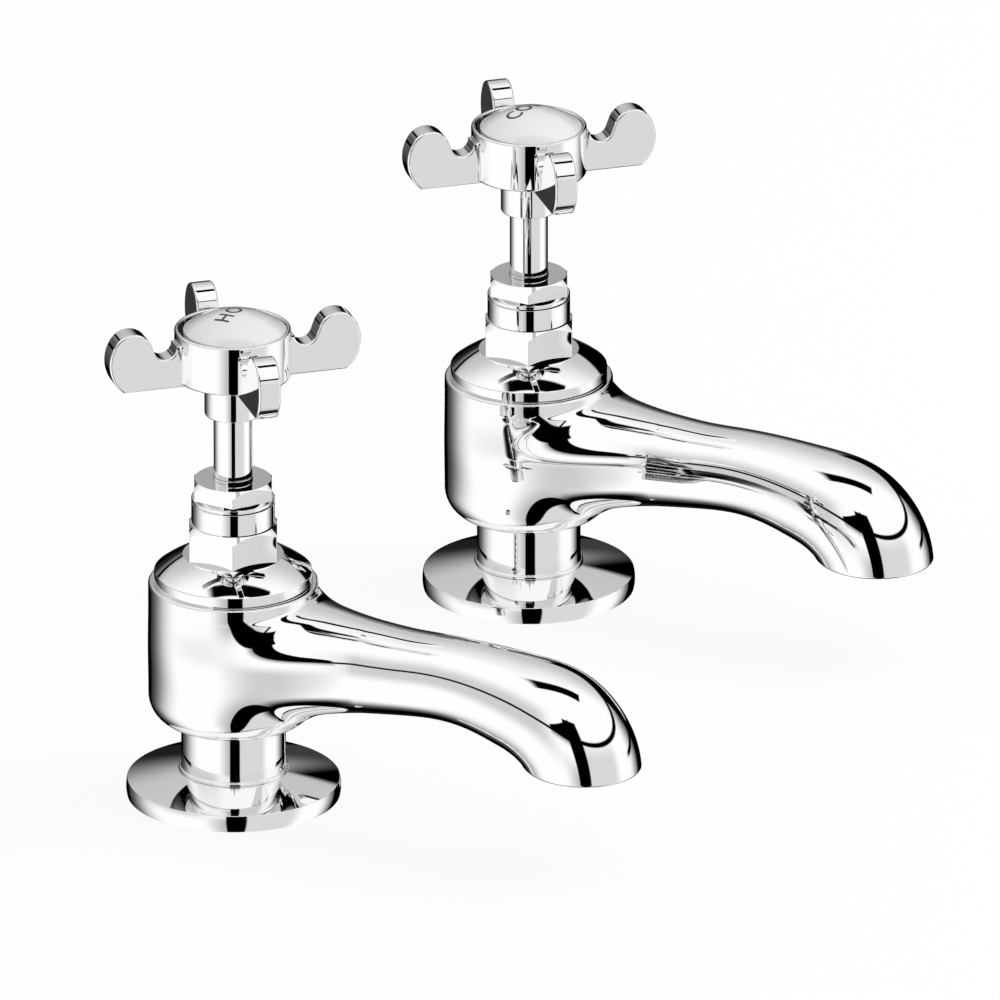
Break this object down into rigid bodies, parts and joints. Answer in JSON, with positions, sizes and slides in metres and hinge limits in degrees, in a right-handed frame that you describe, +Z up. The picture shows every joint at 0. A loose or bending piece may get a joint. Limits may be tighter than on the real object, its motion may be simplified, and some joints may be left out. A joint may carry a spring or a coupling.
{
  "type": "pair of bath taps",
  "caption": "Pair of deck-mounted chrome bath pillar taps with crosshead handles, domed ceramic indices and long curved spouts.",
  "frame": {"origin": "on the deck plane under the flanges, midway between the axes of the two threaded tails", "axes": "+Z up out of the deck along the tap axes, spouts along -Y, hot tap on the -X side and cold tap on the +X side"},
  "size_m": [0.218, 0.1446, 0.1824],
  "materials": {
    "chrome": "polished",
    "brass": "machined",
    "rubber": "matt",
    "fibre": "matt",
    "index": "glazed, with a printed word in dark grey"
  },
  "bodies": {
    "fixed": {"hot_body": "chrome", "hot_flange": "chrome", "hot_base_gasket": "rubber", "hot_cover_plate": "chrome", "hot_bonnet_seal": "fibre", "hot_bonnet": "chrome", "hot_gland_nut": "chrome", "cold_body": "chrome", "cold_flange": "chrome", "cold_base_gasket": "rubber", "cold_cover_plate": "chrome", "cold_bonnet_seal": "fibre", "cold_bonnet": "chrome", "cold_gland_nut": "chrome"},
    "hot_turn": {"hot_handle": "chrome", "hot_spindle": "brass", "hot_stem_sleeve": "chrome", "hot_gland_ring": "rubber", "hot_handle_screw": "brass", "hot_index": "index", "hot_index_ring": "rubber"},
    "hot_lift": {"hot_jumper": "brass", "hot_tap_washer": "rubber", "hot_washer_nut": "brass"},
    "cold_turn": {"cold_handle": "chrome", "cold_spindle": "brass", "cold_stem_sleeve": "chrome", "cold_gland_ring": "rubber", "cold_handle_screw": "brass", "cold_index": "index", "cold_index_ring": "rubber"},
    "cold_lift": {"cold_jumper": "brass", "cold_tap_washer": "rubber", "cold_washer_nut": "brass"}
  },
  "joints": [
    {"name": "hot_handle_turn", "type": "hinge", "parent": "fixed", "child": "hot_turn", "pos_m": [-0.081, 0, 0.1], "axis": [0, 0, 1], "range_deg": [0, 900]},
    {"name": "cold_handle_turn", "type": "hinge", "parent": "fixed", "child": "cold_turn", "pos_m": [0.081, 0, 0.1], "axis": [0, 0, 1], "range_deg": [0, 900]},
    {"name": "hot_valve_lift", "type": "slide", "parent": "fixed", "child": "hot_lift", "axis": [0, 0, 1], "range_m": [0, 0.004]},
    {"name": "cold_valve_lift", "type": "slide", "parent": "fixed", "child": "cold_lift", "axis": [0, 0, 1], "range_m": [0, 0.004]}
  ],
  "couplings": [
    {"joint": "hot_valve_lift", "follows": "hot_handle_turn", "m_per_rad": 0.00023873},
    {"joint": "cold_valve_lift", "follows": "cold_handle_turn", "m_per_rad": 0.00023873}
  ]
}
